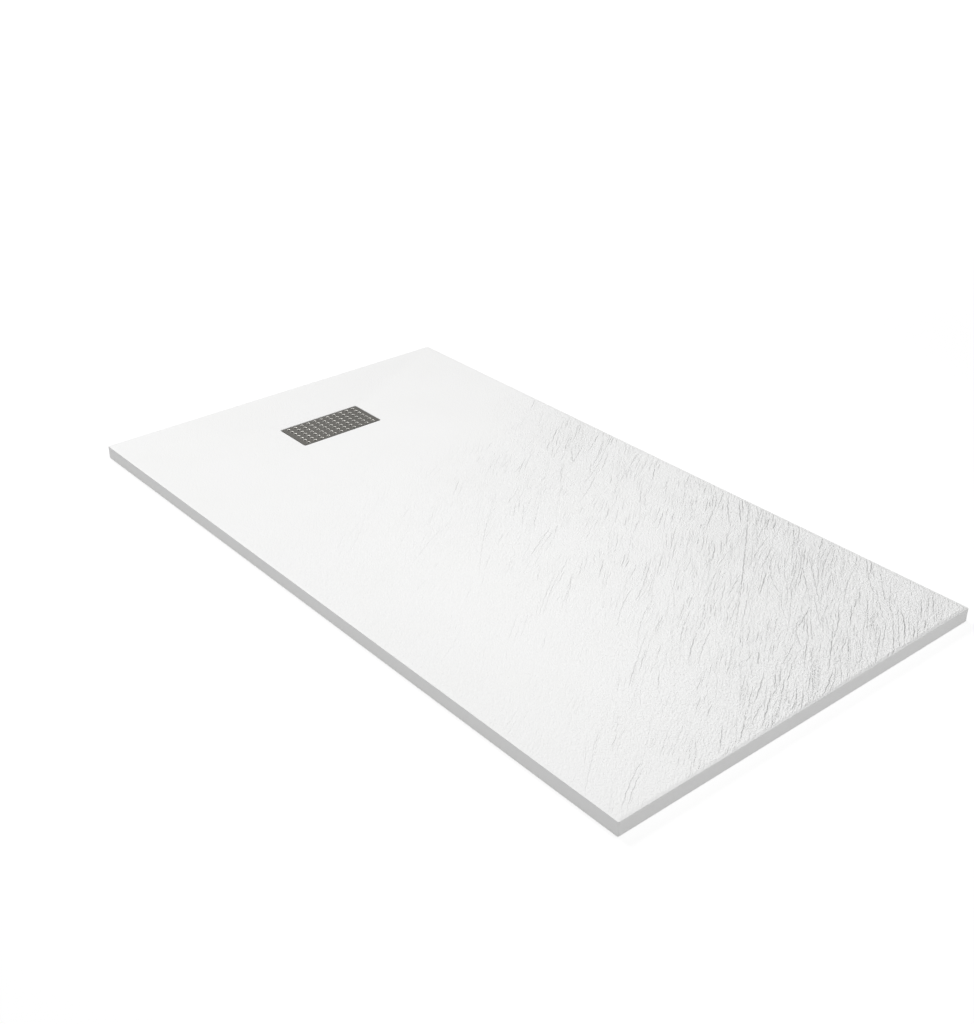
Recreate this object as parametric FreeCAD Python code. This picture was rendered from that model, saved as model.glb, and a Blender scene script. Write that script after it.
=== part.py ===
import FreeCAD
import Part
import math
import os

# Low shower tray with its grate and its waste trap. All sizes are in millimetres.
#
# The frame's origin is the centre of the flat underside that lies on the bedding.
# +X runs along the tray, away from the drain end. +Y points to the long wall side. +Z is up.
# The trap hangs under the tray, in the pocket that the floor leaves for it.

# ---------------------------------------------------------------- tray, overall
tray_length = 1600.0
tray_width = 900.0
tray_height = 28.0
fall_depth = 7.0          # how far the sump's edge lies below the rim
rim_land = 2.5            # level strip round the top, outside the falls
corner_radius = 3.0       # the four upright corners
edge_radius = 1.2         # the top edge all round

# ---------------------------------------------------------------- tray, shell and ribs
skirt_wall = 6.0
skin = 5.0                # wall under the falls
rib_wall = 4.0
rib_pitch_limit = 160.0   # ribs are spaced evenly, no further apart than this
cell_draft = 1.5          # how much each side of a rib cell closes in towards the skin

# ---------------------------------------------------------------- grate
drain_setback = 214.0     # from the drain-end edge to the middle of the grate
grate_width = 98.0        # along the tray
grate_length = 207.0      # across the tray
grate_corner = 2.0
grate_plate = 2.0
grate_height = 3.5        # plate and turned-down rim
grate_rim = 1.5           # thickness of the turned-down rim
grate_edge_bevel = 0.5
grate_below_edge = 0.3    # the grate's top lies this far below the sump's edge
hole_radius = 3.0
hole_sides = 8            # each punched hole is drawn with this many flats
holes_along = 7
holes_across = 11
hole_pitch_along = 13.5
hole_pitch_across = 17.8
pad_size = 10.0
pad_height = 3.0
pad_inset = 0.5           # from the inside of the grate's rim

# ---------------------------------------------------------------- sump
grate_gap = 1.5           # between the grate and the opening, all round
opening_corner = 3.5
opening_bevel = 0.8       # round the opening's top edge
ledge_width = 6.0         # along the tray
ledge_length = 7.0        # across the tray
sump_corner = 25.0
sump_floor_z = 11.0
sump_wall = 5.0
seat_depth = 4.0          # the waste flange's round seat in the sump floor
seat_gap = 1.0
floor_pocket_z = 6.0      # underside of the sump, round the clamping pad
clamp_pad_z = 3.0         # underside of the pad that the trap clamps to
clamp_pad_gap = 2.5       # from the trap's clamping flange to the pocket's wall
clamp_pad_fillet = 0.5    # from there to the pad's edge

# ---------------------------------------------------------------- waste
flange_plate = 2.0
gasket_height = 1.5
waste_bore = 27.0
sleeve_wall = 2.8
thread_clearance = 0.1
flange_reach = 12.7       # from the threaded sleeve to the flange's edge
insert_step_width = 4.0   # from the bore to the step's edge
insert_step_depth = 1.5
sleeve_reach = 16.0       # how far the threaded sleeve goes below the underside
waste_hole_gap = 1.2
trim_metal = 0.5
trim_lip = 1.5
lower_gasket_height = 3.0
gasket_bore_gap = 0.4

# ---------------------------------------------------------------- trap housing
clamp_flange_reach = 0.5  # past the waste flange's edge
clamp_flange_plate = 5.0
collar_wall = 3.6
trap_radius = 46.0
trap_wall = 2.6
ceiling_z = -14.0
ceiling_plate = 3.0
housing_joint_z = -19.0
joint_spigot_wall = 1.6
joint_spigot_reach = 3.0
joint_clearance = 0.1
bowl_floor_z = -60.0
bowl_floor_plate = 3.0
bowl_bottom_bevel = 4.0
gusset_count = 8
gusset_wall = 2.0

# ---------------------------------------------------------------- removable insert
insert_clearance = 0.4    # between the insert and the waste bore
insert_wall = 3.4
insert_rim_plate = 1.4
insert_floor_z = -6.0
cone_height = 4.0
dip_radius = 17.0
dip_wall = 1.6
dip_end_z = -50.0
seal_section = 1.2        # radius of the O-ring's section
seal_gap = 0.15           # between the O-ring and the waste bore
cup_wall = 1.8
cup_floor_z = -56.0
cup_floor_plate = 2.0
cup_rim_z = -26.0
cup_side_gap = 0.8
arm_count = 3
arm_width = 9.0
strainer_bore = 21.0      # opening in the insert's rim
strainer_clearance = 0.3
strainer_wall = 1.2
strainer_rim_radius = 26.2
strainer_rim_plate = 1.0
strainer_depth = 9.0
strainer_slots = 12
slot_width = 2.4
slot_inner = 6.5
slot_outer = 17.5
knob_radius = 4.0
knob_above_rim = 1.4

# ---------------------------------------------------------------- outlet, along its own axis
outlet_axis_z = -40.0
ball_stand_off = 2.0      # between the bowl's outside and the ball
ball_radius = 24.0
ball_gap = 0.3
ball_bore = 15.5
branch_bore = 16.0
branch_wall = 2.5
socket_wall = 3.2         # of the ball seat, threaded outside
seat_overrun = 4.0        # how far the seat runs past the ball's centre
seal_length = 3.3
ball_nut_wall = 3.4
ball_nut_back = 8.0       # how far the nut reaches back past the ball's centre
ball_lip_plate = 1.85
ball_lip_angle = 60.0     # from the outlet's axis to the edge of the nut's opening
neck_wall = 2.0
neck_reach = 10.0         # from the ball nut to the pipe socket's shoulder
shoulder_length = 2.0
pipe_stop_length = 4.0    # from the shoulder to the pipe's stop
pipe_radius = 20.0
pipe_gap = 0.25
pipe_insertion = 18.0     # from the stop to the cone seat
cone_length = 4.0
cone_depth = 2.55
cone_seal_gap = 0.1
cone_seal_plate = 3.0     # the part of the cone seal that stands out of the socket
washer_plate = 1.5
pipe_socket_wall = 4.25
pipe_nut_wall = 4.4
pipe_nut_cover = 18.0     # how far the nut reaches back over the socket
pipe_nut_lip = 3.4
grip_height = 1.2
grip_width = 4.0
grip_count = 10

# ---------------------------------------------------------------- places that follow from these
drain_x = drain_setback - tray_length / 2.0
sump_edge_z = tray_height - fall_depth
grate_top_z = sump_edge_z - grate_below_edge
ledge_z = grate_top_z - grate_plate - pad_height
opening_width = grate_width + 2.0 * grate_gap
opening_length = grate_length + 2.0 * grate_gap
sump_width = opening_width - 2.0 * ledge_width
sump_length = opening_length - 2.0 * ledge_length
thread_radius = waste_bore + sleeve_wall
flange_radius = thread_radius + flange_reach
insert_step_radius = waste_bore + insert_step_width
clamp_flange_radius = flange_radius + clamp_flange_reach
pocket_width = 2.0 * (clamp_flange_radius + clamp_pad_gap)
pocket_length = max(sump_length + 2.0, pocket_width)
sump_block_width = max(opening_width, pocket_width) + 2.0 * sump_wall
sump_block_length = max(opening_length, pocket_length) + 2.0 * sump_wall
seat_z = sump_floor_z - seat_depth
flange_z = seat_z + gasket_height
flange_top_z = flange_z + flange_plate
insert_step_z = flange_top_z - insert_step_depth
insert_top_z = insert_step_z + insert_rim_plate
clamp_top_z = clamp_pad_z - lower_gasket_height
collar_bore = thread_radius + thread_clearance
insert_radius = waste_bore - insert_clearance
insert_bore = insert_radius - insert_wall
cup_radius = waste_bore - cup_side_gap
ball_reach = trap_radius + ball_stand_off + ball_radius    # from the drain to its centre
socket_bore = ball_radius + ball_gap
socket_radius = socket_bore + socket_wall
seal_end = seat_overrun + seal_length
ball_nut_radius = socket_radius + thread_clearance + ball_nut_wall
ball_lip_start = socket_bore * math.cos(math.radians(ball_lip_angle))
ball_nut_lip_end = ball_lip_start + ball_lip_plate
neck_radius = ball_bore + neck_wall
neck_end = ball_nut_lip_end + neck_reach
pipe_stop = neck_end + pipe_stop_length
pipe_seat_start = pipe_stop + pipe_insertion
pipe_seat_end = pipe_seat_start + cone_length
pipe_bore = pipe_radius + pipe_gap
pipe_socket_radius = pipe_bore + pipe_socket_wall
pipe_nut_radius = pipe_socket_radius + thread_clearance + pipe_nut_wall
pipe_nut_back = pipe_seat_end - pipe_nut_cover


# ---------------------------------------------------------------- small helpers
def at(x, y, z):
    return FreeCAD.Vector(x, y, z)


def rectangle_points(x_size, y_size, z, x_middle=0.0, y_middle=0.0):
    """The four corners of a level rectangle."""
    x0 = x_middle - x_size / 2.0
    x1 = x_middle + x_size / 2.0
    y0 = y_middle - y_size / 2.0
    y1 = y_middle + y_size / 2.0
    return [at(x0, y0, z), at(x1, y0, z), at(x1, y1, z), at(x0, y1, z)]


def frustum(low, high):
    """The solid between two level outlines whose matching sides are parallel, so every face is flat."""
    faces = [Part.Face(Part.makePolygon(points + points[:1])) for points in (low, high)]
    for index in range(len(low)):
        following = (index + 1) % len(low)
        side = [low[index], low[following], high[following], high[index]]
        faces.append(Part.Face(Part.makePolygon(side + side[:1])))
    solid = Part.Solid(Part.Shell(faces))
    if solid.Volume < 0.0:
        solid.reverse()
    return solid


def upright_edges(shape, height):
    """The straight upright edges of a prism of this height."""
    found = []
    for edge in shape.Edges:
        start = edge.Vertexes[0].Point
        end = edge.Vertexes[-1].Point
        upright = abs(start.x - end.x) < 1e-6 and abs(start.y - end.y) < 1e-6
        if upright and abs(abs(start.z - end.z) - height) < 1e-6:
            found.append(edge)
    return found


def rounded_prism(x_size, y_size, radius, z_low, z_high, x_middle=0.0):
    """An upright prism on a rectangle with round corners."""
    height = z_high - z_low
    block = Part.makeBox(x_size, y_size, height, at(x_middle - x_size / 2.0, -y_size / 2.0, z_low))
    return block.makeFillet(radius, upright_edges(block, height))


def turned(*edges):
    """Turns a closed outline, drawn in the XZ plane, once round the Z axis."""
    face = Part.Face(Part.Wire(list(edges)))
    return face.revolve(at(0, 0, 0), at(0, 0, 1), 360)


def outline(*points):
    """Straight edges through (radius, height) points."""
    corners = [at(radius, 0, height) for radius, height in points]
    return [Part.makeLine(a, b) for a, b in zip(corners, corners[1:])]


def turned_polygon(*points):
    """A turned piece whose outline has only straight edges."""
    return turned(*outline(*(points + points[:1])))


def sphere_arc(radius, start_height, end_height):
    """The arc of a centred circle between two heights, bulging away from the Z axis."""
    start_angle = math.asin(start_height / radius)
    end_angle = math.asin(end_height / radius)
    middle_angle = (start_angle + end_angle) / 2.0
    points = []
    for angle in (start_angle, middle_angle, end_angle):
        points.append(at(radius * math.cos(angle), 0, radius * math.sin(angle)))
    return Part.Arc(*points).toShape()


def ring(inner, outer, z_low, z_high):
    return turned_polygon((inner, z_low), (outer, z_low), (outer, z_high), (inner, z_high))


def on_drain(shape):
    """Moves a piece turned about the Z axis to the drain's axis."""
    shape.translate(at(drain_x, 0, 0))
    return shape


def on_outlet(shape):
    """Lays a piece turned about the Z axis along the outlet, its origin at the ball's centre."""
    shape.rotate(at(0, 0, 0), at(0, 1, 0), -90)
    shape.translate(at(drain_x - ball_reach, 0, outlet_axis_z))
    return shape


def arms_round(arm, count, first_degrees=0.0):
    """Copies of one arm, evenly spaced round the Z axis."""
    copies = []
    for index in range(count):
        copy = arm.copy()
        copy.rotate(at(0, 0, 0), at(0, 0, 1), first_degrees + index * 360.0 / count)
        copies.append(copy)
    return copies


# ---------------------------------------------------------------- tray body
def falls_void():
    """The shallow dish between the four falls and the rim's level."""
    low = rectangle_points(opening_width, opening_length, sump_edge_z, drain_x)
    high = rectangle_points(tray_length - 2 * rim_land, tray_width - 2 * rim_land, tray_height)
    return frustum(low, high)


def tray_blank():
    """The outside of the tray: a slab with round corners, a rounded top edge and the falls."""
    slab = rounded_prism(tray_length, tray_width, corner_radius, 0.0, tray_height)
    top_edges = []
    for edge in slab.Edges:
        if edge.BoundBox.ZMin > tray_height - 1e-6:
            top_edges.append(edge)
    return slab.makeFillet(edge_radius, top_edges).cut(falls_void())


def even_spans(start, end, limit):
    """Splits a stretch into equal spans no longer than limit."""
    count = math.ceil((end - start) / limit)
    step = (end - start) / count
    return [(start + index * step, start + (index + 1) * step) for index in range(count)]


def rib_cell(x_span, y_span, top_z):
    """One hollow between the ribs: half a rib in from each side, and closing in towards the skin."""
    x_size = x_span[1] - x_span[0] - rib_wall
    y_size = y_span[1] - y_span[0] - rib_wall
    y_middle = (y_span[0] + y_span[1]) / 2.0
    x_middle = (x_span[0] + x_span[1]) / 2.0
    closing = 2 * cell_draft
    low = rectangle_points(x_size, y_size, 0.0, x_middle, y_middle)
    high = rectangle_points(x_size - closing, y_size - closing, top_z, x_middle, y_middle)
    return frustum(low, high)


def rib_cells():
    """Every hollow of the underside. The ribs line up with the walls of the sump's block."""
    half_rib = rib_wall / 2.0
    x_edges = [
        -tray_length / 2.0 + skirt_wall - half_rib,
        drain_x - sump_block_width / 2.0 + half_rib,
        drain_x + sump_block_width / 2.0 - half_rib,
        tray_length / 2.0 - skirt_wall + half_rib,
    ]
    y_edges = [
        -tray_width / 2.0 + skirt_wall - half_rib,
        -sump_block_length / 2.0 + half_rib,
        sump_block_length / 2.0 - half_rib,
        tray_width / 2.0 - skirt_wall + half_rib,
    ]
    cells = []
    for x_zone in range(3):
        for y_zone in range(3):
            if x_zone == 1 and y_zone == 1:
                continue
            for x_span in even_spans(x_edges[x_zone], x_edges[x_zone + 1], rib_pitch_limit):
                for y_span in even_spans(y_edges[y_zone], y_edges[y_zone + 1], rib_pitch_limit):
                    cells.append(rib_cell(x_span, y_span, tray_height - skin))
    return cells


def opening_bevel_void():
    """The bevel round the opening's top edge, run past the falls so that it meets them cleanly."""
    reach = 1.5 * opening_bevel
    low_z = sump_edge_z - opening_bevel
    void = rounded_prism(
        opening_width + 2 * reach, opening_length + 2 * reach, opening_corner + reach,
        low_z, tray_height, drain_x,
    )
    low_edges = [edge for edge in void.Edges if edge.BoundBox.ZMax < low_z + 1e-6]
    return void.makeChamfer(reach, low_edges)


def sump_voids():
    """What is cut for the grate, the sump and the waste."""
    opening = rounded_prism(
        opening_width, opening_length, opening_corner, ledge_z, tray_height, drain_x
    )
    sump = rounded_prism(sump_width, sump_length, sump_corner, sump_floor_z, tray_height, drain_x)
    seat = Part.makeCylinder(flange_radius + seat_gap, tray_height, at(drain_x, 0, seat_z))
    hole_radius_here = thread_radius + waste_hole_gap
    hole = Part.makeCylinder(hole_radius_here, 2 * tray_height, at(drain_x, 0, -tray_height))
    return [opening, opening_bevel_void(), sump, seat, hole]


def sump_pocket():
    """The hollow under the sump, which leaves the round pad that the trap clamps to."""
    pocket = rounded_prism(
        pocket_width, pocket_length, sump_corner, 0.0, floor_pocket_z, drain_x
    )
    pad_radius = pocket_width / 2.0 - clamp_pad_fillet
    pad = Part.makeCylinder(pad_radius, tray_height, at(drain_x, 0, clamp_pad_z))
    return pocket.cut(pad)


def tray_body():
    skin_void = falls_void()
    skin_void.translate(at(0, 0, -skin))
    cells = [cell.cut(skin_void) for cell in rib_cells()]
    return tray_blank().cut(cells + sump_voids() + [sump_pocket()])


# ---------------------------------------------------------------- grate
def punch(x, y, z):
    """The plug that one punched hole takes out."""
    corners = []
    for index in range(hole_sides):
        angle = 2.0 * math.pi * (index + 0.5) / hole_sides
        corners.append(at(x + hole_radius * math.cos(angle), y + hole_radius * math.sin(angle), z))
    face = Part.Face(Part.makePolygon(corners + corners[:1]))
    return face.extrude(at(0, 0, 3 * grate_height))


def drain_grate():
    low_z = grate_top_z - grate_height
    cover = rounded_prism(grate_width, grate_length, grate_corner, low_z, grate_top_z, drain_x)
    top_edges = []
    for edge in cover.Edges:
        if edge.BoundBox.ZMin > grate_top_z - 1e-6:
            top_edges.append(edge)
    cover = cover.makeChamfer(grate_edge_bevel, top_edges)
    hollow = rounded_prism(
        grate_width - 2 * grate_rim, grate_length - 2 * grate_rim, grate_corner / 2.0,
        low_z - 1.0, grate_top_z - grate_plate, drain_x,
    )
    holes = []
    for row in range(holes_along):
        x = drain_x + (row - (holes_along - 1) / 2.0) * hole_pitch_along
        for column in range(holes_across):
            y = (column - (holes_across - 1) / 2.0) * hole_pitch_across
            holes.append(punch(x, y, low_z - 1.0))
    return cover.cut([hollow] + holes)


def grate_pads():
    """Four rubber pads, one in each corner of the grate, standing on the ledge."""
    pads = []
    x_far = grate_width / 2.0 - grate_rim - pad_inset
    y_far = grate_length / 2.0 - grate_rim - pad_inset
    for x_sign in (-1, 1):
        for y_sign in (-1, 1):
            x_middle = drain_x + x_sign * (x_far - pad_size / 2.0)
            y_middle = y_sign * (y_far - pad_size / 2.0)
            corner = at(x_middle - pad_size / 2.0, y_middle - pad_size / 2.0, ledge_z)
            pads.append(Part.makeBox(pad_size, pad_size, pad_height, corner))
    return Part.makeCompound(pads)


# ---------------------------------------------------------------- waste
def waste_flange():
    """The clamping ring, its threaded sleeve and the step that carries the insert."""
    sleeve_end = -sleeve_reach
    return on_drain(turned_polygon(
        (waste_bore, sleeve_end), (thread_radius, sleeve_end), (thread_radius, flange_z),
        (flange_radius, flange_z), (flange_radius, flange_top_z),
        (insert_step_radius, flange_top_z), (insert_step_radius, insert_step_z),
        (waste_bore, insert_step_z),
    ))


def flange_trim():
    """A pressed ring over the flange's face, turned down round its edge."""
    outer = flange_radius + trim_metal
    top = flange_top_z + trim_metal
    return on_drain(turned_polygon(
        (insert_step_radius, flange_top_z), (flange_radius, flange_top_z),
        (flange_radius, flange_top_z - trim_lip), (outer, flange_top_z - trim_lip),
        (outer, top), (insert_step_radius, top),
    ))


def upper_gasket():
    return on_drain(ring(thread_radius + gasket_bore_gap, flange_radius, seat_z, flange_z))


def lower_gasket():
    inner = thread_radius + gasket_bore_gap
    return on_drain(ring(inner, clamp_flange_radius - 1.0, clamp_top_z, clamp_pad_z))


# ---------------------------------------------------------------- trap housing
def trap_collar():
    """The housing's upper half: clamping flange, threaded collar, ceiling and joint spigot."""
    collar_outer = collar_bore + collar_wall
    bowl_inner = trap_radius - trap_wall
    spigot_outer = bowl_inner - joint_clearance
    spigot_inner = spigot_outer - joint_spigot_wall
    ceiling_low = ceiling_z - ceiling_plate
    body = turned_polygon(
        (collar_bore, ceiling_low), (spigot_inner, ceiling_low),
        (spigot_inner, housing_joint_z - joint_spigot_reach),
        (spigot_outer, housing_joint_z - joint_spigot_reach),
        (spigot_outer, housing_joint_z), (trap_radius, housing_joint_z),
        (trap_radius, ceiling_z), (collar_outer, ceiling_z),
        (collar_outer, clamp_top_z - clamp_flange_plate),
        (clamp_flange_radius, clamp_top_z - clamp_flange_plate),
        (clamp_flange_radius, clamp_top_z), (collar_bore, clamp_top_z),
    )
    gusset_height = clamp_top_z - clamp_flange_plate - ceiling_z
    gusset_length = clamp_flange_radius - 2.0 - collar_outer + 1.0
    gusset = Part.makeBox(
        gusset_length, gusset_wall, gusset_height,
        at(collar_outer - 1.0, -gusset_wall / 2.0, ceiling_z),
    )
    return on_drain(body.fuse(arms_round(gusset, gusset_count)).removeSplitter())


def outlet_socket(bore_start):
    """The branch and the ball's seat, about the Z axis, with the ball's centre at the origin."""
    branch_outer = branch_bore + branch_wall
    throat = -math.sqrt(socket_bore ** 2 - branch_bore ** 2)
    straight = outline(
        (branch_bore, throat), (branch_bore, bore_start), (branch_outer, bore_start),
        (branch_outer, throat - 4.0), (socket_radius, throat + 5.0),
        (socket_radius, seat_overrun), (socket_bore, seat_overrun), (socket_bore, 0.0),
    )
    return turned(*straight, sphere_arc(socket_bore, 0.0, throat))


def trap_bowl():
    """The housing's lower half, open on top, with the outlet's branch and ball seat."""
    inner = trap_radius - trap_wall
    bottom = bowl_floor_z - bowl_floor_plate
    bevel = bowl_bottom_bevel
    bowl = on_drain(turned_polygon(
        (0.0, bowl_floor_z), (inner, bowl_floor_z), (inner, housing_joint_z),
        (trap_radius, housing_joint_z), (trap_radius, bottom + bevel),
        (trap_radius - bevel, bottom), (0.0, bottom),
    ))
    hollow_height = housing_joint_z - bowl_floor_z
    hollow = Part.makeCylinder(inner, hollow_height, at(drain_x, 0, bowl_floor_z))
    branch_start = -ball_reach + inner / 2.0
    branch = on_outlet(outlet_socket(branch_start)).cut(hollow)
    bore_length = -branch_start - ball_radius / 2.0
    bore = on_outlet(Part.makeCylinder(branch_bore, bore_length, at(0, 0, branch_start)))
    return bowl.cut(bore).fuse(branch).removeSplitter()


# ---------------------------------------------------------------- removable insert
def dip_tube():
    """Rim, plug with the O-ring's groove, cone and dip tube, turned in one piece."""
    rim_radius = insert_step_radius - insert_clearance
    groove = insert_radius - 2 * seal_section + seal_gap - 0.05
    groove_half = seal_section + 0.2
    dip_inner = dip_radius - dip_wall
    cone_z = insert_floor_z - cone_height
    return on_drain(turned_polygon(
        (strainer_bore, insert_top_z), (strainer_bore, insert_step_z),
        (insert_bore, insert_step_z - 2.0), (insert_bore, insert_floor_z + 1.0),
        (dip_inner, cone_z + 1.0), (dip_inner, dip_end_z), (dip_radius, dip_end_z),
        (dip_radius, cone_z), (insert_bore, insert_floor_z), (insert_radius, insert_floor_z),
        (insert_radius, -groove_half), (groove, -groove_half),
        (groove, groove_half), (insert_radius, groove_half),
        (insert_radius, insert_step_z), (rim_radius, insert_step_z), (rim_radius, insert_top_z),
    ))


def dip_tube_seal():
    """The O-ring in the plug's groove, its section an octagon."""
    middle = waste_bore - seal_gap - seal_section
    section = []
    for index in range(8):
        angle = math.radians(22.5 + 45.0 * index)
        corner = (middle + seal_section * math.cos(angle), seal_section * math.sin(angle))
        section.append(corner)
    return on_drain(turned_polygon(*section))


def trap_cup():
    """The cup of the water seal, hung on arms under the dip tube's plug."""
    inner = cup_radius - cup_wall
    floor_low = cup_floor_z - cup_floor_plate
    cup = turned_polygon(
        (0.0, floor_low), (cup_radius - 2.0, floor_low), (cup_radius, floor_low + 2.0),
        (cup_radius, cup_rim_z), (inner, cup_rim_z), (inner, cup_floor_z), (0.0, cup_floor_z),
    )
    arm_block = Part.makeBox(
        2 * cup_wall + 2.0, arm_width, insert_floor_z - cup_rim_z,
        at(inner - 1.0, -arm_width / 2.0, cup_rim_z),
    )
    arm = arm_block.common(ring(inner, cup_radius, cup_rim_z, insert_floor_z))
    return on_drain(cup.fuse(arms_round(arm, arm_count, 90.0)).removeSplitter())


def hair_strainer():
    """A shallow basket with radial slots and a knob to lift it by."""
    outer = strainer_bore - strainer_clearance
    inner = outer - strainer_wall
    floor_z = insert_top_z - strainer_depth
    rim_top = insert_top_z + strainer_rim_plate
    basket = turned_polygon(
        (0.0, floor_z - strainer_wall), (outer - 1.5, floor_z - strainer_wall),
        (outer, floor_z + 0.3), (outer, insert_top_z), (strainer_rim_radius, insert_top_z),
        (strainer_rim_radius, rim_top), (inner, rim_top), (inner, floor_z),
        (knob_radius * 0.6, floor_z), (knob_radius * 0.6, rim_top - 2.0),
        (knob_radius, rim_top - 1.0), (knob_radius, rim_top + knob_above_rim),
        (0.0, rim_top + knob_above_rim),
    )
    slot = Part.makeBox(
        slot_outer - slot_inner, slot_width, 4 * strainer_wall,
        at(slot_inner, -slot_width / 2.0, floor_z - 3 * strainer_wall),
    )
    return on_drain(basket.cut(arms_round(slot, strainer_slots)))


# ---------------------------------------------------------------- outlet
def outlet_ball():
    """The ball, its neck and the socket for the waste pipe."""
    back = -math.sqrt(ball_radius ** 2 - ball_bore ** 2)
    front = math.sqrt(ball_radius ** 2 - neck_radius ** 2)
    ball = sphere_arc(ball_radius, back, front)
    straight = outline(
        (neck_radius, front), (neck_radius, neck_end),
        (pipe_socket_radius, neck_end + shoulder_length), (pipe_socket_radius, pipe_seat_end),
        (pipe_bore + cone_depth, pipe_seat_end), (pipe_bore, pipe_seat_start),
        (pipe_bore, pipe_stop), (ball_bore, pipe_stop), (ball_bore, back),
    )
    return on_outlet(turned(ball, *straight))


def ball_seal():
    """A rubber ring between the seat's end and the nut's lip, hollowed to the ball."""
    start = seat_overrun
    end = seal_end
    outer = socket_radius - 0.1
    start_radius = math.sqrt(socket_bore ** 2 - start ** 2)
    end_radius = math.sqrt(socket_bore ** 2 - end ** 2)
    straight = outline((end_radius, end), (outer, end), (outer, start), (start_radius, start))
    return on_outlet(turned(sphere_arc(socket_bore, start, end), *straight))


def grips(radius, low, high):
    """Raised grips round a nut."""
    grip = Part.makeBox(
        grip_height + 2.0, grip_width, high - low, at(radius - 2.0, -grip_width / 2.0, low)
    )
    return arms_round(grip, grip_count)


def ball_nut():
    """Screws onto the seat and holds the ball with its hollowed lip."""
    inner = socket_radius + thread_clearance
    lip_radius = socket_bore * math.sin(math.radians(ball_lip_angle))
    seal_radius = math.sqrt(socket_bore ** 2 - seal_end ** 2)
    outer = ball_nut_radius
    straight = outline(
        (seal_radius, seal_end), (inner, seal_end), (inner, -ball_nut_back),
        (outer, -ball_nut_back), (outer, ball_nut_lip_end - 1.0), (outer - 1.0, ball_nut_lip_end),
        (lip_radius + 0.8, ball_nut_lip_end), (lip_radius, ball_lip_start),
    )
    nut = turned(*straight, sphere_arc(socket_bore, ball_lip_start, seal_end))
    return on_outlet(nut.fuse(grips(outer - 0.2, -ball_nut_back, seal_end)).removeSplitter())


def pipe_seal():
    """A cone ring that the nut presses round the pipe."""
    inner = pipe_radius + cone_seal_gap
    start = pipe_seat_start + 0.4
    cone_top = pipe_bore + cone_depth - 0.1
    return on_outlet(turned_polygon(
        (inner, start), (inner + 0.2, start), (cone_top, pipe_seat_end + 0.2),
        (cone_top + 0.9, pipe_seat_end + 0.2), (cone_top + 0.9, pipe_seat_end + cone_seal_plate),
        (inner, pipe_seat_end + cone_seal_plate),
    ))


def pipe_washer():
    start = pipe_seat_end + cone_seal_plate
    inner = pipe_radius + 2 * pipe_gap
    return on_outlet(ring(inner, pipe_socket_radius - 0.4, start, start + washer_plate))


def pipe_nut():
    """The compression nut that closes on the washer and the cone seal."""
    inner = pipe_socket_radius + thread_clearance
    lip_start = pipe_seat_end + cone_seal_plate + washer_plate
    lip_end = lip_start + pipe_nut_lip
    opening = pipe_radius + 3 * pipe_gap
    nut = turned_polygon(
        (inner, pipe_nut_back), (pipe_nut_radius, pipe_nut_back),
        (pipe_nut_radius, lip_end - 1.0), (pipe_nut_radius - 1.0, lip_end),
        (opening, lip_end), (opening, lip_start), (inner, lip_start),
    )
    grip_list = grips(pipe_nut_radius - 0.2, pipe_nut_back, lip_end - 2.0)
    return on_outlet(nut.fuse(grip_list).removeSplitter())


# ---------------------------------------------------------------- output
PIECES = {
    "tray_body": tray_body,
    "drain_grate": drain_grate,
    "grate_pads": grate_pads,
    "waste_flange": waste_flange,
    "flange_trim": flange_trim,
    "upper_gasket": upper_gasket,
    "lower_gasket": lower_gasket,
    "trap_collar": trap_collar,
    "trap_bowl": trap_bowl,
    "dip_tube": dip_tube,
    "dip_tube_seal": dip_tube_seal,
    "trap_cup": trap_cup,
    "hair_strainer": hair_strainer,
    "outlet_ball": outlet_ball,
    "ball_seal": ball_seal,
    "ball_nut": ball_nut,
    "pipe_seal": pipe_seal,
    "pipe_washer": pipe_washer,
    "pipe_nut": pipe_nut,
}


def main():
    os.makedirs("parts", exist_ok=True)
    for name, make in PIECES.items():
        shape = make()
        shape.exportStep("parts/" + name + ".step")
        print(name, len(shape.Solids), "solid(s)", round(shape.Volume / 1000.0, 2), "cm3", shape.isValid())


main()
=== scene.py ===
"""Looks of a low shower tray with its grate and its waste trap.

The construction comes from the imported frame. This script keeps its pieces, replaces the tray's
moulding and the grate by finer meshes of the same size, and gives every piece its finish.
All lengths are in metres, in the frame of the construction: the origin is the middle of the
tray's underside, +X runs away from the drain end, +Y to the far long side and +Z up.
"""

import logging
import math
from dataclasses import dataclass, field
from enum import Enum

import bmesh
import bpy
import numpy as np
from bmesh.types import BMEdge, BMesh, BMFace, BMVert
from bpy.types import ID, Material, Mesh, Node, NodeSocket, NodeTree, Object, World
from mathutils import Matrix, Vector, noise


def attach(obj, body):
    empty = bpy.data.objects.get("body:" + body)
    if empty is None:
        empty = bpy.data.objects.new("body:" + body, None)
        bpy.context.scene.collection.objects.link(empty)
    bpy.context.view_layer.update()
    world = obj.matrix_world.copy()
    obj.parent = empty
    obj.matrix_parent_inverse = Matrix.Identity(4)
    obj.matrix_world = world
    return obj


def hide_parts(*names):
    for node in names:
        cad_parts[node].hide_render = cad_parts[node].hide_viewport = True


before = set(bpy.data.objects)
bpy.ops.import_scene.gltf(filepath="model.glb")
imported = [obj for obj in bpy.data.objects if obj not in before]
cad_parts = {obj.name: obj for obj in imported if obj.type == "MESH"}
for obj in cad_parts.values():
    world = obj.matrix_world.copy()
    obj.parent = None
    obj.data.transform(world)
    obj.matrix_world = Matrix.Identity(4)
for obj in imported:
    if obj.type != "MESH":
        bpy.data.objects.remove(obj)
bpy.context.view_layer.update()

log = logging.getLogger("shower_tray")
MM = 0.001
WELD = 0.001 * MM                       # points nearer to each other than this are one


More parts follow.
